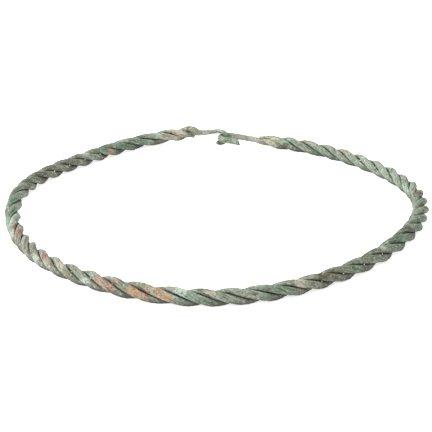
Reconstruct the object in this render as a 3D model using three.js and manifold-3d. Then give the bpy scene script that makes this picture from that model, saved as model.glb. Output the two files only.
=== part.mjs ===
// Bronze torc: three round wires twisted into one rope and bent into a neck ring.
// One wire runs on at both ends, as a hook and as a loop that the hook passes through.
//
// Millimetres, +Z up. The ring lies flat on z = 0, with the clasp at the back (+Y).
// Compass angles are in degrees round the ring's centre, from +X towards +Y, and run
// from the hook's end of the rope round to the loop's end.

import * as THREE from 'three';
import { mergeVertices } from 'three/addons/utils/BufferGeometryUtils.js';
import Module from 'manifold-3d';

// ---------------------------------------------------------------- driving dimensions

const wire = {
  radius: 1.6, // every wire along the rope
  clearance: 0.3, // between two wires, measured square across the rope
  wear: 0.2, // how deep the lowest crests are worn flat
  sides: 8, // flats round each wire
};

// The wires are a little thicker over these stretches.
const swellings = [
  { at: 165, width: 40, more: 0.05 },
  { at: 254, width: 16, more: 0.1 },
  { at: 346, width: 28, more: 0.15 },
];

const hoop = {
  radius: 91.6, // mean radius of the rope's centre line
  steps: 168, // stations along the rope
  hookEnd: 95, // compass angle where the hook's shank leaves the rope
  loopEnd: 436.5, // compass angle where the loop's shank leaves it
};

// The ring was bent by hand. Each bend is a wave round the ring.
const bends = [
  { lobes: 1, size: 1.2, toward: -59 },
  { lobes: 2, size: 1.1, toward: 41 },
  { lobes: 3, size: 1.25, toward: 3 },
  { lobes: 4, size: 1.85, toward: 5 },
  { lobes: 5, size: 0.45, toward: 29 },
  { lobes: 6, size: 0.55, toward: -14 },
  { lobes: 7, size: 0.5, toward: 6 },
];

// The rope is twisted right-handed. Its twist runs ahead or lags in a few places.
const twist = {
  from: 100, // compass angle where the first wire stands at `start`
  start: 74.5, // degrees, from straight out towards straight up
  rate: 17.5, // degrees of twist for each degree of compass
  uneven: [
    { at: 99, width: 6, turn: 25 },
    { at: 171, width: 9, turn: -60 },
    { at: 249, width: 32, turn: -66 },
    { at: 342, width: 27, turn: 95 },
    { at: 385, width: 8, turn: -35 },
    { at: 436, width: 6, turn: 40 },
  ],
};

// The hook's end of the rope lifts a little off the ground.
const lift = {
  height: 1.6,
  length: 20, // degrees of compass
};

// The core wire comes to the middle of the rope before it leaves as a shank.
const gather = 7; // degrees of compass

// The wires' places in the twist are a third of a turn apart. `domed` is how far
// each end swells out of its last ring, as a share of its radius.
const coreWire = { name: 'core_wire', turn: 240, domed: 0.3 };

// The two shorter wires end beside the shanks, and taper to their tips.
const wrappedWire = {
  name: 'wrapped_wire',
  turn: 0,
  domed: 0.5,
  hookEnd: { at: 94.6, taper: 1.5, tip: 1.3 },
  loopEnd: { at: 434.6, taper: 8, tip: 0.6 },
};
const tuckedWire = {
  name: 'tucked_wire',
  turn: 120,
  domed: 0.8,
  hookEnd: { at: 96.6, taper: 5, tip: 0.6 },
  loopEnd: { at: 436, taper: 8, tip: 0.7 },
};

// Both shanks are smooth S curves. They leave the rope, and arrive at their bend,
// in the directions of these two lengths.
const loop = {
  bend: new THREE.Vector3(7.2, 86.2, 4.5), // centre of the U bend
  bendRadius: 3.6,
  cutEnd: new THREE.Vector3(13.2, 82.6, 3.3),
  wireRadius: 1.65,
  leaving: new THREE.Vector3(-4, 1, 0.3),
  arriving: new THREE.Vector3(-4, 0, 0),
  rodPoints: 4,
  bendSteps: 8,
};

const hook = {
  play: 0.35, // between the hook and the loop's wire
  y: 86.7,
  rise: 0.25, // of its bend's centre above the loop's wire
  bendRadius: 1.25, // the wire round the hook's bend
  rodRadii: [1.25, 1.1, 1.1, 1.4], // from the bend along the shank to the rope
  tipRadius: 1.2,
  tip: new THREE.Vector3(-0.8, 0, 0.1), // straight on from the bend
  tipAngle: -100, // where the bend starts and ends, from +X towards +Z
  shankAngle: 95,
  leaving: new THREE.Vector3(5, -1.2, 0.6),
  arriving: new THREE.Vector3(3.5, -0.2, 0.2),
  bendSteps: 8,
};

const bronze = { color: 0x8f9a84, roughness: 0.72, metalness: 0.35 };

// ---------------------------------------------------------------- the rope's centre line

const radians = THREE.MathUtils.degToRad;
const { smoothstep, lerp } = THREE.MathUtils;
const nearby = 0.5; // degrees of compass to either side, for the rope's direction

// One at a place along the rope, and fading out over its width.
function bump(compass, place) {
  return Math.exp(-(((compass - place.at) / place.width) ** 2));
}

function hoopRadius(compass) {
  return bends.reduce(
    (sum, bend) => sum + bend.size * Math.cos(bend.lobes * radians(compass - bend.toward)),
    hoop.radius,
  );
}

function wireRadius(compass) {
  return swellings.reduce((sum, swell) => sum + swell.more * bump(compass, swell), wire.radius);
}

// How far the wires' centres stand from the rope's centre, with their clearance.
function evenDistance(compass) {
  return (2 * wireRadius(compass) + wire.clearance) / Math.sqrt(3);
}

function hoopHeight(compass) {
  const nearHook = 1 - smoothstep(compass, hoop.hookEnd, hoop.hookEnd + lift.length);
  return evenDistance(compass) + wireRadius(compass) - wire.wear + lift.height * nearHook;
}

function ropeCentre(compass) {
  const angle = radians(compass);
  const radius = hoopRadius(compass);
  return new THREE.Vector3(radius * Math.cos(angle), radius * Math.sin(angle), hoopHeight(compass));
}

// Unit vectors square to the rope: straight out of the ring, and up.
function ropeFrame(compass) {
  const along = ropeCentre(compass + nearby).sub(ropeCentre(compass - nearby)).normalize();
  const out = new THREE.Vector3(along.y, -along.x, 0).normalize();
  const up = new THREE.Vector3().crossVectors(out, along);
  return { out, up };
}

function twistAt(compass) {
  const even = twist.start - twist.rate * (compass - twist.from);
  return twist.uneven.reduce((sum, place) => sum + place.turn * bump(compass, place), even);
}

// A point beside the rope's centre line, where one of the wires lies in the twist.
function pointInRope(compass, place, distance) {
  const angle = radians(twistAt(compass) + place.turn);
  const { out, up } = ropeFrame(compass);
  return ropeCentre(compass)
    .addScaledVector(out, distance * Math.cos(angle))
    .addScaledVector(up, distance * Math.sin(angle));
}

// ---------------------------------------------------------------- the wires' distances

function coreDistance(compass) {
  const fromHook = smoothstep(compass, hoop.hookEnd, hoop.hookEnd + gather);
  const fromLoop = 1 - smoothstep(compass, hoop.loopEnd - gather, hoop.loopEnd);
  return evenDistance(compass) * fromHook * fromLoop;
}

// Keeps an outer wire clear of the core wire, wherever the core is on its way inwards.
function outerDistance(compass, radius) {
  const core = coreDistance(compass);
  const apart = wireRadius(compass) + radius + wire.clearance;
  return (Math.sqrt(4 * apart ** 2 - 3 * core ** 2) - core) / 2;
}

function taperedRadius(compass, ends) {
  const nearHook = smoothstep(compass, ends.hookEnd.at, ends.hookEnd.at + ends.hookEnd.taper);
  const nearLoop = 1 - smoothstep(compass, ends.loopEnd.at - ends.loopEnd.taper, ends.loopEnd.at);
  const hookSide = lerp(ends.hookEnd.tip, wireRadius(compass), nearHook);
  const loopSide = lerp(ends.loopEnd.tip, wireRadius(compass), nearLoop);
  return Math.min(hookSide, loopSide);
}

// ---------------------------------------------------------------- centre lines with radii

function stations(first, last) {
  const count = Math.round((hoop.steps * (last - first)) / (hoop.loopEnd - hoop.hookEnd));
  return Array.from({ length: count + 1 }, (_, i) => lerp(first, last, i / count));
}

function outerWirePath(ends) {
  return stations(ends.hookEnd.at, ends.loopEnd.at).map((compass) => {
    const radius = taperedRadius(compass, ends);
    const distance = outerDistance(compass, radius);
    return { point: pointInRope(compass, ends, distance), radius };
  });
}

function arc(count, from, to, place) {
  return Array.from({ length: count + 1 }, (_, i) => place(radians(lerp(from, to, i / count))));
}

// A shank's points between the rope and its bend, without the two ends.
function shankPoints(count, leave, leaving, arrive, arriving) {
  const curve = new THREE.CubicBezierCurve3(
    leave,
    leave.clone().add(leaving),
    arrive.clone().sub(arriving),
    arrive,
  );
  return curve.getPoints(count + 1).slice(1, -1);
}

// From the hook's tip, round the loop's wire, and along the shank to the rope.
function hookPath() {
  const eye = new THREE.Vector3(loop.bend.x - loop.bendRadius, hook.y, loop.bend.z + hook.rise);
  const reach = loop.wireRadius + hook.play + hook.bendRadius;
  const bend = arc(hook.bendSteps, hook.tipAngle, hook.shankAngle, (angle) => ({
    point: eye.clone().add(new THREE.Vector3(Math.cos(angle), 0, Math.sin(angle)).multiplyScalar(reach)),
    radius: hook.bendRadius,
  }));
  const tip = { point: bend[0].point.clone().add(hook.tip), radius: hook.tipRadius };
  const leave = pointInRope(hoop.hookEnd, coreWire, 0);
  const arrive = bend[bend.length - 1].point;
  const rod = shankPoints(hook.rodRadii.length, leave, hook.leaving, arrive, hook.arriving)
    .reverse()
    .map((point, i) => ({ point, radius: hook.rodRadii[i] }));
  return [tip, ...bend, ...rod];
}

// From the rope, along the shank, round the U bend to the cut end.
function loopPath() {
  const leave = pointInRope(hoop.loopEnd, coreWire, 0);
  const far = loop.bend.clone().add(new THREE.Vector3(0, loop.bendRadius, 0));
  const rod = shankPoints(loop.rodPoints, leave, loop.leaving, far, loop.arriving);
  const bend = arc(loop.bendSteps, 90, 270, (angle) => loop.bend.clone().add(
    new THREE.Vector3(Math.cos(angle), Math.sin(angle), 0).multiplyScalar(loop.bendRadius),
  ));
  const near = bend[bend.length - 1];
  const leg = [near.clone().lerp(loop.cutEnd, 0.5), loop.cutEnd];
  return [...rod, ...bend, ...leg].map((point) => ({ point, radius: loop.wireRadius }));
}

function coreWirePath() {
  const rope = stations(hoop.hookEnd, hoop.loopEnd).map((compass) => ({
    point: pointInRope(compass, coreWire, coreDistance(compass)),
    radius: wireRadius(compass),
  }));
  return [...hookPath(), ...rope, ...loopPath()];
}

// ---------------------------------------------------------------- solids

// A closed round bar along a path, with its own radius at every point of the path.
function roundBar(path, domed) {
  const positions = [];
  const indices = [];
  const across = new THREE.Vector3(0, 0, 1);
  const tangents = path.map((_, i) => {
    const before = path[Math.max(i - 1, 0)].point;
    const after = path[Math.min(i + 1, path.length - 1)].point;
    return after.clone().sub(before).normalize();
  });
  path.forEach(({ point, radius }, i) => {
    across.addScaledVector(tangents[i], -across.dot(tangents[i])).normalize();
    const other = new THREE.Vector3().crossVectors(tangents[i], across);
    for (let side = 0; side < wire.sides; side += 1) {
      const angle = (2 * Math.PI * side) / wire.sides;
      const corner = point.clone()
        .addScaledVector(across, radius * Math.cos(angle))
        .addScaledVector(other, radius * Math.sin(angle));
      positions.push(...corner);
    }
  });
  const corner = (i, side) => i * wire.sides + (side % wire.sides);
  for (let i = 0; i < path.length - 1; i += 1) {
    for (let side = 0; side < wire.sides; side += 1) {
      indices.push(corner(i, side), corner(i, side + 1), corner(i + 1, side));
      indices.push(corner(i, side + 1), corner(i + 1, side + 1), corner(i + 1, side));
    }
  }
  const last = path.length - 1;
  const startCap = positions.length / 3;
  positions.push(...path[0].point.clone().addScaledVector(tangents[0], -domed * path[0].radius));
  positions.push(...path[last].point.clone().addScaledVector(tangents[last], domed * path[last].radius));
  for (let side = 0; side < wire.sides; side += 1) {
    indices.push(startCap, corner(0, side + 1), corner(0, side));
    indices.push(startCap + 1, corner(last, side), corner(last, side + 1));
  }
  const geometry = new THREE.BufferGeometry();
  geometry.setAttribute('position', new THREE.Float32BufferAttribute(positions, 3));
  geometry.setIndex(indices);
  return geometry;
}

const wasm = await Module();
wasm.setup();

// A box brings normals and a UV map that keep its corners apart, so they go first.
function toSolid(geometry) {
  const bare = geometry.clone();
  bare.deleteAttribute('normal');
  bare.deleteAttribute('uv');
  const merged = mergeVertices(bare);
  return new wasm.Manifold(new wasm.Mesh({
    numProp: 3, // x, y and z
    vertProperties: new Float32Array(merged.attributes.position.array),
    triVerts: new Uint32Array(merged.index.array),
  }));
}

function toGeometry(solid) {
  const mesh = solid.getMesh();
  const geometry = new THREE.BufferGeometry();
  geometry.setAttribute('position', new THREE.BufferAttribute(mesh.vertProperties, 3));
  geometry.setIndex(new THREE.BufferAttribute(mesh.triVerts, 1));
  geometry.computeVertexNormals();
  return geometry;
}

// Everything above the ground: cutting with it wears the lowest crests flat.
const aboveGround = new THREE.BoxGeometry(4 * hoop.radius, 4 * hoop.radius, hoop.radius)
  .translate(0, 0, hoop.radius / 2);

function wireMesh(piece, path) {
  const solid = toSolid(roundBar(path, piece.domed)).intersect(toSolid(aboveGround));
  const mesh = new THREE.Mesh(toGeometry(solid), new THREE.MeshStandardMaterial(bronze));
  mesh.name = piece.name;
  return mesh;
}

const torc = new THREE.Group();
torc.add(wireMesh(coreWire, coreWirePath()));
torc.add(wireMesh(wrappedWire, outerWirePath(wrappedWire)));
torc.add(wireMesh(tuckedWire, outerWirePath(tuckedWire)));

// The origin is on the ground, under the middle of the whole.
const middle = new THREE.Box3().setFromObject(torc).getCenter(new THREE.Vector3());
torc.position.set(-middle.x, -middle.y, 0);

export default torc;
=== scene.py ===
"""Bronze torc: three corroded wires twisted into a neck ring, closed by a hook in a loop."""
import math

import bpy
from bpy.props import FloatProperty, FloatVectorProperty, PointerProperty
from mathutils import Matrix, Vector, noise


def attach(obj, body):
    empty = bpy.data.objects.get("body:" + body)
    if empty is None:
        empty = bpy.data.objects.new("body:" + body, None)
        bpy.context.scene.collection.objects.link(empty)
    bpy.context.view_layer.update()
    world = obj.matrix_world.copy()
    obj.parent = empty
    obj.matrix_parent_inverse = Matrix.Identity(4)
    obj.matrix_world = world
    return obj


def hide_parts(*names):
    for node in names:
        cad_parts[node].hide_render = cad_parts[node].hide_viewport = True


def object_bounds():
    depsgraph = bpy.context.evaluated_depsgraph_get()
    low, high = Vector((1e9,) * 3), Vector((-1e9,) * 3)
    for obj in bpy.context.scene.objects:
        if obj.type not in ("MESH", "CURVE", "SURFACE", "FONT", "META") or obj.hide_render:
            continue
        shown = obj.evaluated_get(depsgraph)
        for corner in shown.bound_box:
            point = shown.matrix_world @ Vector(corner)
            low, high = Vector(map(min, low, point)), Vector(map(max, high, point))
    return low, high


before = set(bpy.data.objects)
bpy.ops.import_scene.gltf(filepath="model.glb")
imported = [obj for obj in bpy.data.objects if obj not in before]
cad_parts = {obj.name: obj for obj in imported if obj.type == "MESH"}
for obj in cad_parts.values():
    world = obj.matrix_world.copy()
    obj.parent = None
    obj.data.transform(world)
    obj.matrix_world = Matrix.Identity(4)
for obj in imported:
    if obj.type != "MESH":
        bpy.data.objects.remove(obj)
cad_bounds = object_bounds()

bl_info = {
    "name": "Bronze torc",
    "version": (1, 0, 0),
    "blender": (4, 5, 0),
    "location": "3D View > Sidebar > Torc",
    "description": "Makes the torc's three wires, their patina and the stage they lie on",
    "category": "Object",
}

# ---------------------------------------------------------------------------
# The rope's route: millimetres, and degrees of compass round the hoop's centre, from
# the hook's end of the rope to the loop's end. The route is the solids' own. The twist,
# and where the two outer wires end, are corrected from it in places.

MM = 0.001
HOOP_CENTRE = Vector((-1.954, 1.566, 0.0))
HOOK_END = 95.0
LOOP_END = 436.5
GATHER = 7.0
PART_OUTSIDE = 1.0  # the wires are round up to here, past the gathering's end
PART_INSIDE = 5.0  # and pressed from here on
LIFT_HEIGHT = 1.6
LIFT_LENGTH = 20.0
BENDS = [  # lobes, size, toward
    (1, 1.2, -59), (2, 1.1, 41), (3, 1.25, 3), (4, 1.85, 5),
    (5, 0.45, 29), (6, 0.55, -14), (7, 0.5, 6),
]
SWELLINGS = [(165, 40, 0.05), (254, 16, 0.1), (346, 28, 0.15)]  # at, width, more
DIRECTION_SPAN = 0.25  # how far to either side the rope's direction is taken
TWIST_FROM = 100.0
TWIST_START = 74.5
TWIST_UNEVEN = [  # at, width, turn
    (104, 8, -45), (171, 9, -60), (204, 9, 45), (249, 32, -66), (262, 9, 28), (304, 12, -15),
    (342, 27, 95), (399, 12, 15), (420, 6, 20), (436, 6, 40),
]

CORE_TURN = 240.0
WRAPPED = {"turn": 0.0, "hook": (94.6, 1.5, 1.3), "loop": (434.2, 3.5, 0.9)}  # at, taper, tip
TUCKED = {"turn": 120.0, "hook": (96.6, 3.5, 0.8), "loop": (434.0, 4.0, 0.8)}
CLING = 0.55  # how much closer than their clearance the wires lie where they part

LOOP_BEND = Vector((7.2, 86.2, 4.5))
LOOP_CUT = Vector((13.2, 82.6, 3.3))
LOOP_LEAVING = Vector((-4, 1, 0.3))
LOOP_ARRIVING = Vector((-4, 0, 0))
HOOK_LEAVING = Vector((5, -1.2, 0.6))
HOOK_ARRIVING = Vector((3.5, -0.2, 0.2))
HOOK_Y = 86.7
HOOK_RISE = 0.25
HOOK_PLAY = 0.35
HOOK_TIP = Vector((-0.8, 0, 0.1))
HOOK_ANGLES = (-100.0, 95.0)
HOOK_TIP_RADIUS = 1.2
HOOK_ROD = [1.4, 1.35, 1.4, 1.6]  # radii of its shank, from the hook to the rope
TIP_STEPS = 3
BEND_STEPS = 24
SHANK_STEPS = 30
LEG_STEPS = 12

# A strand's section, from its crest round to its inner edge: degrees from the crest
# about the rope's middle, and the share of the rope's radius. The outer part is round,
# and its two flanks are pressed flat against the other wires.
FLANK = 57.0
CREST_POINTS = 16
CREST = [FLANK * k / (CREST_POINTS - 1) for k in range(CREST_POINTS)]
STRAND_SECTION = [(angle, math.cos(math.radians(angle))) for angle in CREST]
STRAND_SECTION += [(57.5, 0.46), (57, 0.37), (54, 0.28), (40, 0.2), (0, 0.14)]
SIDES = 2 * (len(STRAND_SECTION) - 1)
CREVICE_FROM = 0.2  # how far in from the crest the crevice begins, and where it is deep
CREVICE_DEEP = 0.56

# A wire's domed ends, as rise and width, and how far the loop's slanted cut reaches.
DOME = [(0.12, 0.985), (0.25, 0.93), (0.36, 0.78), (0.43, 0.5)]
DOME_HEIGHT = 2.3
CUT_STATIONS = 6

# The relief of the corroded skin: lengths along the wire and widths round it, and
# shares of the depth in the settings.
SWELL_LENGTH = 6.0
RIDGE_LENGTH = 9.0
RIDGE_WIDTH = 0.7
CREASE_LENGTH = 11.0
CREASE_WIDTH = 1.6
CREASE_SPREAD = 0.11
GRAIN_LENGTH = 1.3
GRAIN_WIDTH = 1.1
EVEN_SHARE = 0.3
SWELL_SHARE = 0.55
RIDGE_SHARE = 0.45
CREASE_SHARE = 0.8
GRAIN_SHARE = 0.4
CREVICE_RELIEF = 0.6  # how much less there is deep in a crevice
THIN_WIRE_RELIEF = 0.5  # the share that the shanks, the hook and the loop have
MOST_RELIEF = 0.4  # of the way in to the wire's middle

# The stage, in metres.
FLOOR_SIZE = 6.0
LIGHTS = [  # name, place, size, share of the key light's power
    ("key_light", (-0.65, -0.15, 0.75), 0.9, 1.0),
    ("top_light", (0.1, 0.5, 0.9), 0.8, 0.4),
]
VIEW_AIM = Vector((0.00136, -0.01468, 0.0034))  # from the hoop's centre
UNDERSIDE_SHADE_FULL = 0.0005  # heights between which the painted shade on the ground side thins out
UNDERSIDE_SHADE_NONE = 0.0042


def settings():
    return bpy.context.scene.torc


def smooth(value, low, high):
    t = min(max((value - low) / (high - low), 0.0), 1.0)
    return t * t * (3 - 2 * t)


def mix(a, b, share):
    return a + (b - a) * share


def bump(compass, at, width):
    return math.exp(-(((compass - at) / width) ** 2))


def hoop_radius(compass):
    waves = (size * math.cos(lobes * math.radians(compass - toward)) for lobes, size, toward in BENDS)
    return settings().hoop_radius / MM + sum(waves)


def wire_radius(compass):
    more = sum(more * bump(compass, at, width) for at, width, more in SWELLINGS)
    return settings().wire_radius / MM + more


def even_distance(compass):
    return (2 * wire_radius(compass) + settings().clearance / MM) / math.sqrt(3)


def rope_radius(compass):
    return even_distance(compass) + wire_radius(compass)


def rope_centre(compass):
    radius = hoop_radius(compass)
    near_hook = 1 - smooth(compass, HOOK_END, HOOK_END + LIFT_LENGTH)
    height = rope_radius(compass) - settings().wear / MM + LIFT_HEIGHT * near_hook
    angle = math.radians(compass)
    return Vector((radius * math.cos(angle), radius * math.sin(angle), height))


def twist_at(compass):
    rate = math.degrees(settings().twist_rate)
    even = TWIST_START - rate * (compass - TWIST_FROM)
    return even + sum(turn * bump(compass, at, width) for at, width, turn in TWIST_UNEVEN)


def rope_side(compass, angle):
    """Unit vectors: square to the rope, at an angle from out to up; and along it."""
    ahead = rope_centre(compass + DIRECTION_SPAN)
    along = (ahead - rope_centre(compass - DIRECTION_SPAN)).normalized()
    out = Vector((along.y, -along.x, 0)).normalized()
    up = out.cross(along)
    turned = math.radians(angle)
    return out * math.cos(turned) + up * math.sin(turned), along


def rope_axes(compass, turn):
    """Unit vectors square to the rope: towards one wire, round the rope, and along it."""
    towards, along = rope_side(compass, twist_at(compass) + turn)
    return towards, towards.cross(along), along


def core_distance(compass):
    from_hook = smooth(compass, HOOK_END, HOOK_END + GATHER)
    from_loop = 1 - smooth(compass, LOOP_END - GATHER, LOOP_END)
    return even_distance(compass) * from_hook * from_loop


def outer_distance(compass, radius):
    core = core_distance(compass)
    apart = wire_radius(compass) + radius + settings().clearance / MM
    return (math.sqrt(4 * apart ** 2 - 3 * core ** 2) - core) / 2


def roundness(compass):
    """0 where the wires are pressed into one another, 1 where they part."""
    hook_side, loop_side = HOOK_END + GATHER, LOOP_END - GATHER
    near_hook = 1 - smooth(compass, hook_side - PART_OUTSIDE, hook_side + PART_INSIDE)
    near_loop = smooth(compass, loop_side - PART_INSIDE, loop_side + PART_OUTSIDE)
    return max(near_hook, near_loop)


def tapered_radius(compass, ends):
    hook_at, hook_taper, hook_tip = ends["hook"]
    loop_at, loop_taper, loop_tip = ends["loop"]
    whole = wire_radius(compass)
    hook_side = mix(hook_tip, whole, smooth(compass, hook_at, hook_at + hook_taper))
    loop_side = mix(loop_tip, whole, 1 - smooth(compass, loop_at - loop_taper, loop_at))
    return min(hook_side, loop_side)


class Station:
    """One cross-section of a wire: where it is, how big, and how round."""

    def __init__(self, centre, radius, rope=None, axes=None, compass=None):
        self.centre = centre
        self.radius = radius
        self.rope = rope  # the rope's centre here, or None off the rope
        self.axes = axes  # towards, round, along; set by lay_frames off the rope
        self.compass = compass


def rope_stations(turn, first, last, distance_at, radius_at):
    step = math.degrees(settings().station_step / settings().hoop_radius)
    count = round((last - first) / step)
    made = []
    for i in range(count + 1):
        compass = mix(first, last, i / count)
        axes = rope_axes(compass, turn)
        radius = radius_at(compass)
        rope = rope_centre(compass)
        centre = rope + axes[0] * distance_at(compass, radius)
        made.append(Station(centre, radius, rope, axes, compass))
    return made


def bezier(a, b, c, d, t):
    u = 1 - t
    return a * u ** 3 + b * (3 * u * u * t) + c * (3 * u * t * t) + d * t ** 3


def shank(leave, leaving, arrive, arriving, radii):
    """An S curve from the rope to its bend, without its two ends."""
    made = []
    for i in range(1, SHANK_STEPS):
        t = i / SHANK_STEPS
        place = t * (len(radii) - 1)
        low = min(int(place), len(radii) - 2)
        radius = mix(radii[low], radii[low + 1], smooth(place - low, 0, 1))
        made.append(Station(bezier(leave, leave + leaving, arrive - arriving, arrive, t), radius))
    return made


def hook_stations():
    """From the hook's tip, round the loop's wire, and along the shank to the rope."""
    clasp = settings()
    hook, loop_wire = clasp.hook_wire / MM, clasp.loop_wire / MM
    eye = Vector((LOOP_BEND.x - clasp.loop_bend / MM, HOOK_Y, LOOP_BEND.z + HOOK_RISE))
    reach = loop_wire + HOOK_PLAY + hook
    bend = []
    for i in range(BEND_STEPS + 1):
        angle = math.radians(mix(HOOK_ANGLES[0], HOOK_ANGLES[1], i / BEND_STEPS))
        bend.append(Station(eye + Vector((math.cos(angle), 0, math.sin(angle))) * reach, hook))
    tip = [
        Station(bend[0].centre + HOOK_TIP * (1 - i / TIP_STEPS), HOOK_TIP_RADIUS)
        for i in range(TIP_STEPS)
    ]
    leave = rope_centre(HOOK_END)
    whole = wire_radius(HOOK_END)
    rod = shank(leave, HOOK_LEAVING, bend[-1].centre, HOOK_ARRIVING, [whole] + HOOK_ROD[::-1])
    return tip + bend + rod[::-1]


def loop_stations():
    """From the rope, along the shank, round the U bend to the cut end."""
    bend_radius = settings().loop_bend / MM
    radius = settings().loop_wire / MM
    leave = rope_centre(LOOP_END)
    far = LOOP_BEND + Vector((0, bend_radius, 0))
    rod = shank(leave, LOOP_LEAVING, far, LOOP_ARRIVING, [wire_radius(LOOP_END), radius, radius])
    bend = []
    for i in range(BEND_STEPS + 1):
        angle = math.radians(mix(90, 270, i / BEND_STEPS))
        place = Vector((math.cos(angle), math.sin(angle), 0)) * bend_radius
        bend.append(Station(LOOP_BEND + place, radius))
    leg = [
        Station(bend[-1].centre.lerp(LOOP_CUT, i / LEG_STEPS), radius)
        for i in range(1, LEG_STEPS + 1)
    ]
    return rod + bend + leg


def core_stations():
    rope = rope_stations(
        CORE_TURN, HOOK_END, LOOP_END,
        lambda compass, radius: core_distance(compass), wire_radius,
    )
    return hook_stations() + rope + loop_stations()


def outer_stations(ends):
    return rope_stations(
        ends["turn"], ends["hook"][0], ends["loop"][0],
        lambda compass, radius: outer_distance(compass, radius) - CLING * roundness(compass),
        lambda compass: tapered_radius(compass, ends),
    )


def lay_frames(stations):
    """Gives every station its direction, and stations off the rope their axes."""
    for i, station in enumerate(stations):
        before = stations[max(i - 1, 0)].centre
        after = stations[min(i + 1, len(stations) - 1)].centre
        station.along = (after - before).normalized()
    on_rope = [i for i, station in enumerate(stations) if station.axes]
    for order in (range(on_rope[0] - 1, -1, -1), range(on_rope[-1] + 1, len(stations))):
        towards = stations[order[0] + (1 if order.step < 0 else -1)].axes[0] if len(order) else None
        for i in order:
            along = stations[i].along
            towards = (towards - along * towards.dot(along)).normalized()
            stations[i].axes = (towards, towards.cross(along), along)


def relief(distance, around, place):
    """How far the corroded skin stands in from the full section, in millimetres.

    `place` is a number of each wire's own, so that no two wires have the same skin.
    """
    swell = noise.noise(Vector((distance / SWELL_LENGTH, place * 1.7, 3.1)))
    ridge = noise.noise(Vector((distance / RIDGE_LENGTH, around / RIDGE_WIDTH, place * 5.0)))
    fold = noise.noise(Vector((distance / CREASE_LENGTH, around / CREASE_WIDTH, place * 7.0)))
    crease = max(0.0, 1 - abs(fold) / CREASE_SPREAD)
    spot = Vector((distance / GRAIN_LENGTH, around / GRAIN_WIDTH, place * 9.0))
    grain = noise.fractal(spot, 0.8, 2.1, 3)
    depth = settings().relief / MM
    return depth * (
        EVEN_SHARE + SWELL_SHARE * swell + RIDGE_SHARE * ridge
        + CREASE_SHARE * crease + GRAIN_SHARE * grain
    )


def section_of(station, distance, place):
    """The ring of points round a wire at a station, with how deep each lies in a crevice."""
    towards, around_rope, _ = station.axes
    along = station.along
    square = (towards - along * towards.dot(along)).normalized()
    side = square.cross(along)
    pressed = 0.0 if station.rope is None else 1 - roundness(station.compass)
    outer = station.radius if station.rope is None else rope_radius(station.compass)
    half = SIDES // 2
    points, depths, walks = [], [], []
    for k in range(SIDES):
        step = k - half
        degrees, share = STRAND_SECTION[abs(step)]
        sign = 1 if step > 0 else -1
        turn = math.pi * step / half
        walk = turn * station.radius
        point = station.centre + (square * math.cos(turn) + side * math.sin(turn)) * station.radius
        deep = 0.0
        if pressed > 0:
            angle = math.radians(degrees) * sign
            aside = towards * math.cos(angle) + around_rope * math.sin(angle)
            strand = station.rope + aside * (share * outer)
            point = point.lerp(strand, pressed)
            deep = pressed * smooth(1 - share, CREVICE_FROM, CREVICE_DEEP)
            walk = mix(walk, angle * outer if abs(step) < CREST_POINTS else walk, pressed)
        inwards = station.centre - point
        dent = relief(distance, walk, place) * (1 - CREVICE_RELIEF * deep)
        if station.rope is None:
            dent *= THIN_WIRE_RELIEF
        point += inwards.normalized() * min(dent, MOST_RELIEF * inwards.length)
        points.append(point)
        depths.append(deep)
        walks.append(walk)
    return points, depths, walks


# Wide stretches where one colour of the patina prevails: colour, compass, reach in
# millimetres, and how much it covers.
ZONES = [
    ("deep_green", 122, 26, 0.65), ("olive_brown", 152, 30, 0.6), ("deep_green", 178, 18, 0.6),
    ("mint", 196, 14, 0.55), ("stone", 212, 14, 0.6), ("stone", 240, 22, 0.4), ("mint", 266, 14, 0.4),
    ("deep_green", 330, 30, 0.75), ("olive_brown", 304, 22, 0.55), ("mint", 376, 20, 0.5),
    ("mint", 400, 34, 0.35), ("cream", 103, 10, 0.7), ("cream", 432, 12, 0.75),
]

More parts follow.
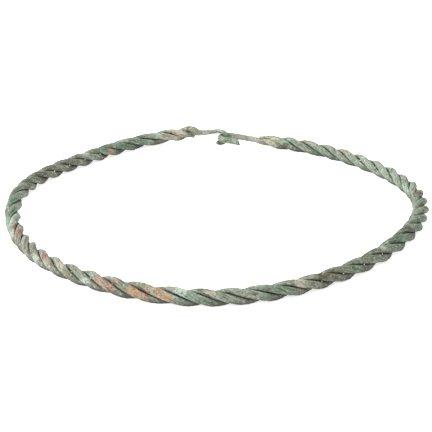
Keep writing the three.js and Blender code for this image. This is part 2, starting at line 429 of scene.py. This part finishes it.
# Smaller patches on the surface: colour, compass, angle from straight out to straight up,
# reach in millimetres, and how much it covers.
PATCHES = [
    ("pale_mint", 109, 130, 2.6, 0.8), ("mint", 112, 180, 3.0, 0.8), ("stone", 112, 120, 2.4, 0.8),
    ("cream", 107, 190, 3.4, 0.8), ("olive_yellow", 98, 150, 2.8, 0.9),
    ("dark_olive", 95.5, 160, 2.2, 0.9), ("cream", 101.5, 170, 4.6, 0.9),
    ("malachite", 116, 140, 4.5, 0.7), ("malachite", 124, 130, 3.5, 0.8),
    ("malachite", 120, 170, 3.5, 0.8), ("tan", 128, 160, 3.5, 0.75), ("malachite", 132, 120, 3.2, 0.8),
    ("pale_mint", 138.5, 100, 3.0, 0.8), ("pale_mint", 121, 100, 3.0, 0.8),
    ("dark_olive", 146, 150, 4.5, 0.7), ("dark_olive", 160, 160, 5.0, 0.7),
    ("dark_olive", 169, 150, 4.0, 0.7), ("malachite", 183, 90, 4.5, 0.75),
    ("malachite", 189, 90, 4.0, 0.7), ("pale_mint", 197.5, 50, 4.0, 0.8),
    ("pale_mint", 203, 30, 4.0, 0.8), ("red_brown", 200.5, 90, 3.4, 1.0),
    ("red_brown", 204, 70, 3.2, 1.0), ("salmon", 207, 55, 2.8, 0.7), ("olive_brown", 216, 70, 3.6, 0.8),
    ("red_brown", 222, 60, 3.2, 1.0), ("salmon", 225, 20, 2.4, 0.8), ("pale_mint", 220, 20, 3.2, 0.8),
    ("pale_mint", 224, 350, 3.6, 0.8), ("cream", 229, 50, 3.4, 0.8),
    ("olive_yellow", 233, 50, 4.2, 0.8), ("pale_mint", 238, 20, 2.2, 0.9),
    ("salmon", 242, 40, 3.2, 0.95), ("salmon", 245, 20, 3.2, 0.95), ("red_brown", 246.5, 80, 3.0, 0.95),
    ("malachite", 249, 70, 2.0, 0.8), ("tan", 251.5, 25, 4.2, 1.0), ("tan", 254, 15, 3.4, 1.0),
    ("salmon", 256.5, 80, 2.8, 0.7), ("tan", 258, 35, 3.6, 1.0), ("tan", 260, 20, 3.4, 0.95),
    ("pale_mint", 262, 60, 4.2, 0.8), ("dark_olive", 267, 90, 2.4, 0.8), ("cream", 269, 50, 3.6, 0.6),
    ("malachite", 268, 0, 2.4, 0.7), ("malachite", 286.5, 50, 4.0, 0.75),
    ("cream", 291.5, 45, 3.6, 0.8), ("red_brown", 296, 60, 2.2, 0.9),
    ("dark_olive", 298.5, 65, 4.0, 0.8), ("olive_brown", 301.5, 40, 4.0, 0.8),
    ("malachite", 310, 40, 4.2, 0.75), ("dark_olive", 315, 100, 4.0, 0.8),
    ("dark_olive", 319, 80, 4.0, 0.7), ("cream", 322, 70, 2.4, 0.7), ("dark_olive", 336, 100, 5.0, 0.6),
    ("dark_olive", 353.5, 80, 3.8, 0.85), ("dark_olive", 361.5, 80, 4.0, 0.9),
    ("pale_mint", 376.5, 60, 4.0, 0.7), ("pale_mint", 370, 160, 4.0, 0.7),
    ("pale_mint", 385.5, 170, 3.6, 0.7), ("pale_mint", 394.5, 160, 3.6, 0.7),
    ("salmon", 402.5, 110, 2.2, 0.65), ("malachite", 413, 170, 4.0, 0.75),
    ("pale_mint", 424, 130, 2.6, 0.8), ("dark_olive", 424, 172, 2.0, 0.9),
    ("stone", 431.5, 130, 3.4, 0.9), ("cream", 430, 175, 4.2, 0.9),
]

# Patches on the clasp, whose places are in millimetres from the hoop's centre.
CLASP_PATCHES = [
    ("stone", (-8, 91, 5), 7.0, 0.8), ("pale_mint", (3, 87, 7.5), 4.0, 0.6),
    # Painted shade: the dark olive patch at (1, 86.7, 3) darkens the clasp's gap under the hook's bend,
    # beside the loop's U bend.
    ("dark_olive", (1, 86.7, 3), 2.8, 0.7), ("malachite", (7, 82.6, 4.5), 3.2, 0.5),
    ("mint", (10, 82.6, 4), 3.4, 0.8), ("dark_olive", (13.6, 82.4, 3), 1.6, 0.8),
    ("stone", (13, 90, 4.5), 6.0, 0.9), ("cream", (18.5, 89.5, 4), 2.0, 0.8),
]


# ---------------------------------------------------------------------------
# Modelling


def deselect_all():
    if bpy.context.object and bpy.context.object.mode != "OBJECT":
        bpy.ops.object.mode_set(mode="OBJECT")
    bpy.ops.object.select_all(action="DESELECT")


def select_at(bar, height):
    """Selects the ring of a bar's vertices at one height, in edit mode."""
    bpy.ops.object.mode_set(mode="OBJECT")
    for part in (bar.data.polygons, bar.data.edges, bar.data.vertices):
        part.foreach_set("select", [False] * len(part))
    for vertex in bar.data.vertices:
        vertex.select = abs(vertex.co.z - height) < 0.01
    bpy.ops.object.mode_set(mode="EDIT")
    bpy.ops.mesh.select_mode(type="VERT")


def straight_bar(name, stations):
    """A bar one unit in radius and one unit long for each step, with a dome at each end."""
    deselect_all()
    bpy.ops.mesh.primitive_circle_add(vertices=SIDES, radius=1, fill_type="NOTHING", location=(0, 0, 0))
    bar = bpy.context.object
    bar.name = name
    bar.data.name = name
    bpy.ops.object.mode_set(mode="EDIT")
    bpy.ops.mesh.select_all(action="SELECT")
    bpy.ops.mesh.extrude_region_move(TRANSFORM_OT_translate={"value": (0, 0, 1)})
    bpy.ops.object.mode_set(mode="OBJECT")
    steps = bar.modifiers.new("steps", "ARRAY")
    steps.count = stations - 1
    steps.use_relative_offset = False
    steps.use_constant_offset = True
    steps.constant_offset_displace = (0, 0, 1)
    steps.use_merge_vertices = True
    steps.merge_threshold = 0.001
    bpy.ops.object.modifier_apply(modifier=steps.name)
    for end, out in ((0, -1), (stations - 1, 1)):
        select_at(bar, end)
        height, width = 0.0, 1.0
        for rise, narrow in DOME:
            step = (0, 0, out * (rise - height))
            bpy.ops.mesh.extrude_region_move(TRANSFORM_OT_translate={"value": step})
            bpy.ops.transform.resize(
                value=(narrow / width, narrow / width, 1), center_override=(0, 0, end + out * rise)
            )
            height, width = rise, narrow
        bpy.ops.mesh.merge(type="CENTER")
    bpy.ops.object.mode_set(mode="OBJECT")
    return bar


def lay_bar(bar, stations, place, dome_share, cut_slant=0.0):
    """Twists and bends a straight bar on to its wire's route, and gives it its skin."""
    lay_frames(stations)
    distance = 0.0
    rings = []
    travelled = []
    for i, station in enumerate(stations):
        if i:
            distance += (station.centre - stations[i - 1].centre).length
        travelled.append(distance)
        rings.append(section_of(station, distance, place))
    low, high = (Vector(corner) / MM for corner in cad_bounds)
    last = len(stations) - 1
    addresses = []
    crevice = []
    for vertex in bar.data.vertices:
        x, y, z = vertex.co
        i = min(max(round(z), 0), last) if -0.01 < z < last + 0.01 else (0 if z < 0 else last)
        share = math.hypot(x, y)
        k = round(math.atan2(y, x) / (2 * math.pi) * SIDES) % SIDES if share > 0.01 else 0
        station = stations[i]
        points, depths, _ = rings[i]
        beyond = z - i
        point = station.centre.lerp(points[k], share)
        dome = DOME_HEIGHT * dome_share[0 if z < 0 else 1] * station.radius
        point += station.along * (beyond * dome)
        if cut_slant and i > last - CUT_STATIONS:
            share_of_cut = (i - last + CUT_STATIONS) / CUT_STATIONS
            point += station.along * (cut_slant * (station.centre.z - point.z) * share_of_cut)
        point += HOOP_CENTRE
        point = Vector([min(max(c, a), b) for c, a, b in zip(point, low, high)])
        vertex.co = point * MM
        addresses.append((i, k))
        crevice.append(depths[k] * share)
    layer = bar.data.uv_layers.new(name="along_wire")
    for polygon in bar.data.polygons:
        ks = [addresses[bar.data.loops[loop].vertex_index][1] for loop in polygon.loop_indices]
        wraps = max(ks) - min(ks) > SIDES // 2
        for loop, k in zip(polygon.loop_indices, ks):
            i = addresses[bar.data.loops[loop].vertex_index][0]
            walk = -rings[i][2][0] if wraps and k < SIDES // 2 else rings[i][2][k]
            layer.data[loop].uv = (travelled[i] * MM, walk * MM)
    mask = bar.data.attributes.new("crevice", "FLOAT", "POINT")
    mask.data.foreach_set("value", crevice)
    bpy.ops.object.mode_set(mode="EDIT")
    bpy.ops.mesh.select_all(action="SELECT")
    bpy.ops.mesh.normals_make_consistent(inside=False)
    bpy.ops.object.mode_set(mode="OBJECT")
    bpy.ops.object.shade_smooth()


def finish_wire(bar, node, material):
    bar.data.materials.append(material)
    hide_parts(node)
    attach(bar, "root")


# ---------------------------------------------------------------------------
# Patina


def new_group(name, inputs, outputs):
    group = bpy.data.node_groups.new(name, "ShaderNodeTree")
    for title, kind, value in inputs:
        socket = group.interface.new_socket(title, in_out="INPUT", socket_type=kind)
        if value is not None:
            socket.default_value = value
    for title, kind in outputs:
        group.interface.new_socket(title, in_out="OUTPUT", socket_type=kind)
    start = group.nodes.new("NodeGroupInput")
    end = group.nodes.new("NodeGroupOutput")
    return group, start, end


def add(tree, kind, values=None, **options):
    node = tree.nodes.new(kind)
    for name, value in options.items():
        setattr(node, name, value)
    for name, value in (values or {}).items():
        node.inputs[name].default_value = value
    return node


def join(tree, source, target):
    tree.links.new(source, target)


def placed_patch_group():
    """A ragged patch round a place: 1 inside, fading to 0 at its reach."""
    group, start, end = new_group(
        "placed_patch",
        [
            ("Where", "NodeSocketVector", None), ("Place", "NodeSocketVector", None),
            ("Reach", "NodeSocketVector", None), ("Ragged", "NodeSocketFloat", 0.0),
            ("Softness", "NodeSocketFloat", 0.5),
        ],
        [("Mask", "NodeSocketFloat")],
    )
    apart = add(group, "ShaderNodeVectorMath", operation="SUBTRACT")
    scaled = add(group, "ShaderNodeVectorMath", operation="DIVIDE")
    length = add(group, "ShaderNodeVectorMath", operation="LENGTH")
    ragged = add(group, "ShaderNodeMath", operation="ADD")
    inner = add(group, "ShaderNodeMath", {0: 1.0}, operation="SUBTRACT")
    fade = add(group, "ShaderNodeMapRange", {"To Min": 1.0, "To Max": 0.0}, interpolation_type="SMOOTHSTEP")
    fade.inputs["From Max"].default_value = 1.0
    join(group, start.outputs["Where"], apart.inputs[0])
    join(group, start.outputs["Place"], apart.inputs[1])
    join(group, apart.outputs[0], scaled.inputs[0])
    join(group, start.outputs["Reach"], scaled.inputs[1])
    join(group, scaled.outputs[0], length.inputs[0])
    join(group, length.outputs["Value"], ragged.inputs[0])
    join(group, start.outputs["Ragged"], ragged.inputs[1])
    join(group, start.outputs["Softness"], inner.inputs[1])
    join(group, ragged.outputs[0], fade.inputs["Value"])
    join(group, inner.outputs[0], fade.inputs["From Min"])
    join(group, fade.outputs["Result"], end.inputs["Mask"])
    return group


def skin_group():
    """The grain of the corroded skin: mottling, ridges along the wire, pits and specks."""
    group, start, end = new_group(
        "corroded_skin",
        [("Object", "NodeSocketVector", None), ("Wire", "NodeSocketVector", None)],
        [
            ("Clouds", "NodeSocketFloat"), ("Blotches", "NodeSocketFloat"), ("Ridges", "NodeSocketFloat"),
            ("Pits", "NodeSocketFloat"), ("Specks", "NodeSocketFloat"), ("Height", "NodeSocketFloat"),
        ],
    )
    clouds = add(group, "ShaderNodeTexNoise", {"Scale": 90.0, "Detail": 3.0, "Roughness": 0.6})
    blotches = add(group, "ShaderNodeTexNoise", {"Scale": 420.0, "Detail": 4.0, "Roughness": 0.65})
    stretch = add(group, "ShaderNodeMapping")
    stretch.inputs["Scale"].default_value = (170.0, 1050.0, 1.0)
    ridges = add(
        group, "ShaderNodeTexNoise", {"Scale": 1.0, "Detail": 3.0, "Roughness": 0.6, "Distortion": 0.4}
    )
    pits = add(group, "ShaderNodeTexNoise", {"Scale": 1050.0, "Detail": 3.0, "Roughness": 0.7})
    specks = add(group, "ShaderNodeTexNoise", {"Scale": 800.0, "Detail": 2.0, "Roughness": 0.5})
    for source, node in (
        ("Object", clouds), ("Object", blotches), ("Wire", stretch), ("Object", pits), ("Object", specks),
    ):
        join(group, start.outputs[source], node.inputs["Vector"])
    join(group, stretch.outputs["Vector"], ridges.inputs["Vector"])
    half_pits = add(group, "ShaderNodeMath", {1: 0.5}, operation="MULTIPLY")
    pitted_ridges = add(group, "ShaderNodeMath", operation="ADD")
    join(group, pits.outputs["Fac"], half_pits.inputs[0])
    join(group, half_pits.outputs[0], pitted_ridges.inputs[0])
    join(group, ridges.outputs["Fac"], pitted_ridges.inputs[1])
    height = add(group, "ShaderNodeMath", operation="ADD")
    join(group, pitted_ridges.outputs[0], height.inputs[0])
    join(group, blotches.outputs["Fac"], height.inputs[1])
    for title, node in (
        ("Clouds", clouds), ("Blotches", blotches), ("Ridges", ridges), ("Pits", pits), ("Specks", specks),
    ):
        join(group, node.outputs["Fac"], end.inputs[title])
    join(group, height.outputs[0], end.inputs["Height"])
    return group


class Painter:
    """Builds one wire's patina, one layer of colour over another."""

    def __init__(self, name):
        self.material = bpy.data.materials.new(name)
        self.material.use_nodes = True
        self.tree = self.material.node_tree
        self.tree.nodes.clear()
        place = add(self.tree, "ShaderNodeTexCoord")
        wire = add(self.tree, "ShaderNodeUVMap", uv_map="along_wire")
        deep = add(self.tree, "ShaderNodeAttribute", attribute_name="crevice", attribute_type="GEOMETRY")
        self.skin = add(self.tree, "ShaderNodeGroup", node_tree=bpy.data.node_groups["corroded_skin"])
        self.object = place.outputs["Object"]
        self.crevice = deep.outputs["Fac"]
        join(self.tree, self.object, self.skin.inputs["Object"])
        join(self.tree, wire.outputs["UV"], self.skin.inputs["Wire"])
        self.colour = None
        ragged = add(self.tree, "ShaderNodeMapRange", {"To Min": -0.9, "To Max": 0.9})
        ragged.inputs["From Min"].default_value = 0.2
        ragged.inputs["From Max"].default_value = 0.8
        join(self.tree, self.skin.outputs["Blotches"], ragged.inputs["Value"])
        self.ragged = ragged.outputs["Result"]

    def between(self, value, low, high, most=1.0):
        """A mask that rises from 0 to `most` as a value goes from low to high."""
        node = add(self.tree, "ShaderNodeMapRange", {"To Max": most}, interpolation_type="SMOOTHSTEP")
        node.inputs["From Min"].default_value = low
        node.inputs["From Max"].default_value = high
        join(self.tree, value, node.inputs["Value"])
        return node.outputs["Result"]

    def times(self, a, b):
        node = add(self.tree, "ShaderNodeMath", operation="MULTIPLY")
        join(self.tree, a, node.inputs[0])
        if isinstance(b, (int, float)):
            node.inputs[1].default_value = b
        else:
            join(self.tree, b, node.inputs[1])
        return node.outputs[0]

    def cover(self, mask, colour):
        """Lays a colour over what is there, by a mask."""
        node = add(self.tree, "ShaderNodeMix", data_type="RGBA", blend_type="MIX")
        join(self.tree, mask, node.inputs["Factor"])
        if self.colour is None:
            node.inputs["A"].default_value = (*settings().pale_green, 1.0)
        else:
            join(self.tree, self.colour, node.inputs[6])
        node.inputs[7].default_value = (*colour, 1.0)
        self.colour = node.outputs[2]

    def patch(self, colour, place, reach, most, softness=0.6):
        """A ragged patch of colour, round a place in the object."""
        node = add(self.tree, "ShaderNodeGroup", node_tree=bpy.data.node_groups["placed_patch"])
        join(self.tree, self.object, node.inputs["Where"])
        join(self.tree, self.ragged, node.inputs["Ragged"])
        node.inputs["Place"].default_value = place
        node.inputs["Reach"].default_value = reach
        node.inputs["Softness"].default_value = softness
        self.cover(self.times(node.outputs["Mask"], most), colour)

    def low_side(self):
        """A mask that rises towards the ground, for the painted shade on the wires' undersides."""
        parts = add(self.tree, "ShaderNodeSeparateXYZ")
        join(self.tree, self.object, parts.inputs[0])
        ends = {"To Min": 1.0, "To Max": 0.0}
        node = add(self.tree, "ShaderNodeMapRange", ends, interpolation_type="SMOOTHSTEP")
        node.inputs["From Min"].default_value = UNDERSIDE_SHADE_FULL
        node.inputs["From Max"].default_value = UNDERSIDE_SHADE_NONE
        join(self.tree, parts.outputs["Z"], node.inputs["Value"])
        return node.outputs["Result"]

    def finish(self):
        values = settings()
        shader = add(self.tree, "ShaderNodeBsdfPrincipled")
        output = add(self.tree, "ShaderNodeOutputMaterial")
        lumps = add(self.tree, "ShaderNodeBump", {"Strength": values.skin_relief, "Distance": 0.0008})
        shader.inputs["Metallic"].default_value = 0.0
        shader.inputs["Specular IOR Level"].default_value = 0.3
        rough = add(self.tree, "ShaderNodeMapRange", {"To Min": 0.62, "To Max": 0.9})
        join(self.tree, self.skin.outputs["Blotches"], rough.inputs["Value"])
        join(self.tree, rough.outputs["Result"], shader.inputs["Roughness"])
        join(self.tree, self.skin.outputs["Height"], lumps.inputs["Height"])
        join(self.tree, lumps.outputs["Normal"], shader.inputs["Normal"])
        join(self.tree, self.colour, shader.inputs["Base Color"])
        join(self.tree, shader.outputs["BSDF"], output.inputs["Surface"])
        return self.material


def paint_patina(name):
    for group, make in (("corroded_skin", skin_group), ("placed_patch", placed_patch_group)):
        if group not in bpy.data.node_groups:
            make()
    values = settings()
    paint = Painter(name)
    skin = paint.skin.outputs
    paint.cover(paint.between(skin["Clouds"], 0.38, 0.60, 0.8), values.mid_green)
    paint.cover(paint.between(skin["Blotches"], 0.48, 0.62, 0.6), values.stone)
    for colour, compass, reach, most in ZONES:
        paint.patch(getattr(values, colour), on_rope(compass), (reach * MM,) * 3, most, softness=0.8)
    for colour, compass, angle, reach, most in PATCHES:
        paint.patch(getattr(values, colour), on_rope(compass, angle), (reach * MM,) * 3, most)
    for colour, place, reach, most in CLASP_PATCHES:
        middle = (Vector(place) + HOOP_CENTRE) * MM
        paint.patch(getattr(values, colour), middle, (reach * MM,) * 3, most)
    # Painted highlight and shade along the skin's ridges: mint on their crests, dark olive in the creases
    # between them.
    paint.cover(paint.between(skin["Ridges"], 0.54, 0.66, 0.6), values.mint)
    paint.cover(paint.between(skin["Ridges"], 0.47, 0.37, 0.75), values.dark_olive)
    # Painted shade: near-black over the wires' low side, towards the floor, where shade falls.
    paint.cover(paint.times(paint.low_side(), 0.85), values.underside_shade)
    paint.cover(paint.between(skin["Pits"], 0.52, 0.64, 0.75), values.dark_olive)
    paint.cover(paint.between(skin["Specks"], 0.60, 0.68, 0.7), values.cream)
    # Painted shade: near-black laid deep in the crevices between the wires, where shade falls.
    paint.cover(paint.times(paint.between(paint.crevice, 0.1, 0.9), 0.85), values.crevice_shade)
    return paint.finish()


def on_rope(compass, angle=None):
    """A place on the rope in metres: on its middle, or on its surface at an angle from out to up."""
    place = rope_centre(compass) + HOOP_CENTRE
    if angle is not None:
        place += rope_side(compass, angle)[0] * rope_radius(compass)
    return place * MM


# ---------------------------------------------------------------------------
# Settings


def colour_property(name, description, default):
    return FloatVectorProperty(
        name=name, description=description, default=default, subtype="COLOR", size=3, min=0.0, max=1.0,
    )


def length_property(name, description, default):
    return FloatProperty(
        name=name, description=description, default=default,
        unit="LENGTH", subtype="DISTANCE", min=0.0, precision=5,
    )


class TorcSettings(bpy.types.PropertyGroup):
    """Sizes and colours of the torc, and the light and view on its stage."""

    hoop_radius: length_property("Hoop radius", "Mean radius of the rope's centre line", 0.0916)
    wire_radius: length_property("Wire radius", "Radius of each wire along the rope", 0.0016)
    clearance: length_property("Clearance", "Gap between two wires, square across the rope", 0.0003)
    wear: length_property("Wear", "How deep the lowest crests are worn flat", 0.0002)
    twist_rate: FloatProperty(
        name="Twist rate", description="Turn of the twist for each degree round the ring",
        default=math.radians(17.5), subtype="ANGLE",
    )
    station_step: length_property("Station step", "Distance between two sections of a wire", 0.0005)
    relief: length_property("Relief", "Depth of the corroded skin's lumps and ridges", 0.00026)
    loop_bend: length_property("Loop bend", "Radius of the loop's U bend", 0.0036)
    loop_wire: length_property("Loop wire", "Radius of the wire in the loop", 0.00165)
    hook_wire: length_property("Hook wire", "Radius of the wire in the hook", 0.00125)
    cut_slant: FloatProperty(name="Cut slant", description="Slant of the loop's cut end", default=0.5)
    skin_relief: FloatProperty(name="Skin grain", description="Strength of the finest grain", default=0.9)
    pale_green: colour_property("Pale green", "Verdigris over most of the wires", (0.185, 0.207, 0.162))
    mid_green: colour_property("Mid green", "Greener clouds in the patina", (0.078, 0.122, 0.082))
    stone: colour_property("Stone", "Beige-grey crust", (0.19, 0.185, 0.148))
    deep_green: colour_property("Deep green", "Dark malachite clouds", (0.046, 0.082, 0.052))
    malachite: colour_property("Malachite", "Brighter green patches", (0.056, 0.123, 0.07))
    # Mint is also the painted highlight on the crests of the skin's ridges.
    mint: colour_property("Mint", "Mint bloom", (0.185, 0.246, 0.196))
    pale_mint: colour_property("Pale mint", "Palest bloom on the crests", (0.28, 0.336, 0.28))
    cream: colour_property("Cream", "Cream crust at the terminals", (0.314, 0.291, 0.224))
    olive_yellow: colour_property("Olive yellow", "Yellowish crust", (0.168, 0.157, 0.084))
    olive_brown: colour_property("Olive brown", "Brown crust and pits", (0.0728, 0.0672, 0.0392))
    # Dark olive is also the painted shade in the creases between the skin's ridges, and under the hook's
    # bend.
    dark_olive: colour_property("Dark olive", "Darkest crust", (0.0476, 0.0448, 0.028))
    salmon: colour_property("Salmon", "Bare metal, salmon", (0.269, 0.146, 0.106))
    red_brown: colour_property("Red brown", "Bare metal, reddest", (0.185, 0.0728, 0.0476))
    tan: colour_property("Tan", "Bare metal, orange tan", (0.291, 0.179, 0.101))
    # Painted shade on the wires' undersides, towards the floor.
    underside_shade: colour_property("Underside shade", "Painted shade on the ground side", (0.028, 0.03, 0.022))
    # Painted shade deep in the crevices between the wires.
    crevice_shade: colour_property("Crevice", "Painted shade deep between the wires", (0.012, 0.014, 0.01))
    view_elevation: FloatProperty(
        name="View elevation", description="Camera's height above the horizon",
        default=math.radians(23.5), subtype="ANGLE",
    )
    view_distance: length_property("View distance", "From the camera to what it aims at", 0.5405)
    view_lens: FloatProperty(name="Lens", description="Focal length", default=100.0, unit="CAMERA")
    floor_colour: colour_property("Floor", "Plain pale floor", (0.9, 0.9, 0.9))
    floor_glow: FloatProperty(
        name="Floor glow", description="Light from under the floor, as on a light table", default=0.7,
    )
    key_power: FloatProperty(
        name="Key light", description="Soft light from the left", default=20.0, unit="POWER",
    )
    sky_strength: FloatProperty(
        name="Sky", description="Strength of the light all round", default=0.95,
    )


# ---------------------------------------------------------------------------
# Operators


class TORC_OT_core_wire(bpy.types.Operator):
    """Make the wire that ends in the hook and in the loop"""

    bl_idname = "torc.core_wire"
    bl_label = "Core wire with hook and loop"

    def execute(self, context):
        stations = core_stations()
        bar = straight_bar("core_wire_bronze", len(stations))
        lay_bar(bar, stations, 1.0, (0.75, 0.25), settings().cut_slant)
        finish_wire(bar, "core_wire", paint_patina("core_patina"))
        return {"FINISHED"}


class TORC_OT_outer_wires(bpy.types.Operator):
    """Make the two wires that end beside the shanks"""

    bl_idname = "torc.outer_wires"
    bl_label = "Wrapped and tucked wires"

    def execute(self, context):
        for node, ends, place, domes in (
            ("wrapped_wire", WRAPPED, 2.0, (0.7, 0.8)),
            ("tucked_wire", TUCKED, 3.0, (0.9, 0.9)),
        ):
            stations = outer_stations(ends)
            bar = straight_bar(node + "_bronze", len(stations))
            lay_bar(bar, stations, place, domes)
            finish_wire(bar, node, paint_patina(node + "_patina"))
        return {"FINISHED"}


class TORC_OT_stage(bpy.types.Operator):
    """Make the floor, the soft studio light and the camera"""

    bl_idname = "torc.stage"
    bl_label = "Stage"

    def execute(self, context):
        values = settings()
        deselect_all()
        bpy.ops.mesh.primitive_plane_add(size=FLOOR_SIZE, location=(0, 0, 0))
        floor = context.object
        floor.name = "floor"
        paper = bpy.data.materials.new("floor_paper")
        paper.use_nodes = True
        shader = paper.node_tree.nodes["Principled BSDF"]
        shader.inputs["Base Color"].default_value = (*values.floor_colour, 1.0)
        shader.inputs["Roughness"].default_value = 0.9
        shader.inputs["Specular IOR Level"].default_value = 0.0
        shader.inputs["Emission Color"].default_value = (1, 1, 1, 1)
        shader.inputs["Emission Strength"].default_value = values.floor_glow
        floor.data.materials.append(paper)

        world = bpy.data.worlds.new("soft_sky")
        world.use_nodes = True
        sky = world.node_tree.nodes["Background"]
        sky.inputs["Color"].default_value = (1, 1, 1, 1)
        sky.inputs["Strength"].default_value = values.sky_strength
        context.scene.world = world

        for name, place, size, share in LIGHTS:
            bpy.ops.object.light_add(type="AREA", location=place)
            light = context.object
            light.name = name
            light.data.energy = values.key_power * share
            light.data.size = size
            light.rotation_euler = (-Vector(place)).to_track_quat("-Z", "Y").to_euler()

        aim = HOOP_CENTRE * MM + VIEW_AIM
        rise = values.view_elevation
        back = Vector((0, -math.cos(rise), math.sin(rise)))
        bpy.ops.object.camera_add(location=aim + back * values.view_distance)
        camera = context.object
        camera.name = "view"
        camera.data.lens = values.view_lens
        camera.data.sensor_width = 36.0
        camera.data.clip_start = 0.01
        camera.rotation_euler = (-back).to_track_quat("-Z", "Y").to_euler()
        context.scene.camera = camera
        context.scene.view_settings.view_transform = "Standard"
        return {"FINISHED"}


class TORC_PT_panel(bpy.types.Panel):
    """Lists the torc's operators and settings"""

    bl_idname = "TORC_PT_panel"
    bl_label = "Torc"
    bl_space_type = "VIEW_3D"
    bl_region_type = "UI"
    bl_category = "Torc"

    def draw(self, context):
        for operator in (TORC_OT_core_wire, TORC_OT_outer_wires, TORC_OT_stage):
            self.layout.operator(operator.bl_idname)
        for name in TorcSettings.__annotations__:
            self.layout.prop(context.scene.torc, name)


CLASSES = (TorcSettings, TORC_OT_core_wire, TORC_OT_outer_wires, TORC_OT_stage, TORC_PT_panel)


def register():
    for cls in CLASSES:
        bpy.utils.register_class(cls)
    bpy.types.Scene.torc = PointerProperty(type=TorcSettings)


def unregister():
    del bpy.types.Scene.torc
    for cls in reversed(CLASSES):
        bpy.utils.unregister_class(cls)


def main():
    register()
    bpy.ops.torc.core_wire()
    bpy.ops.torc.outer_wires()
    bpy.ops.torc.stage()


if __name__ == "__main__":
    main()
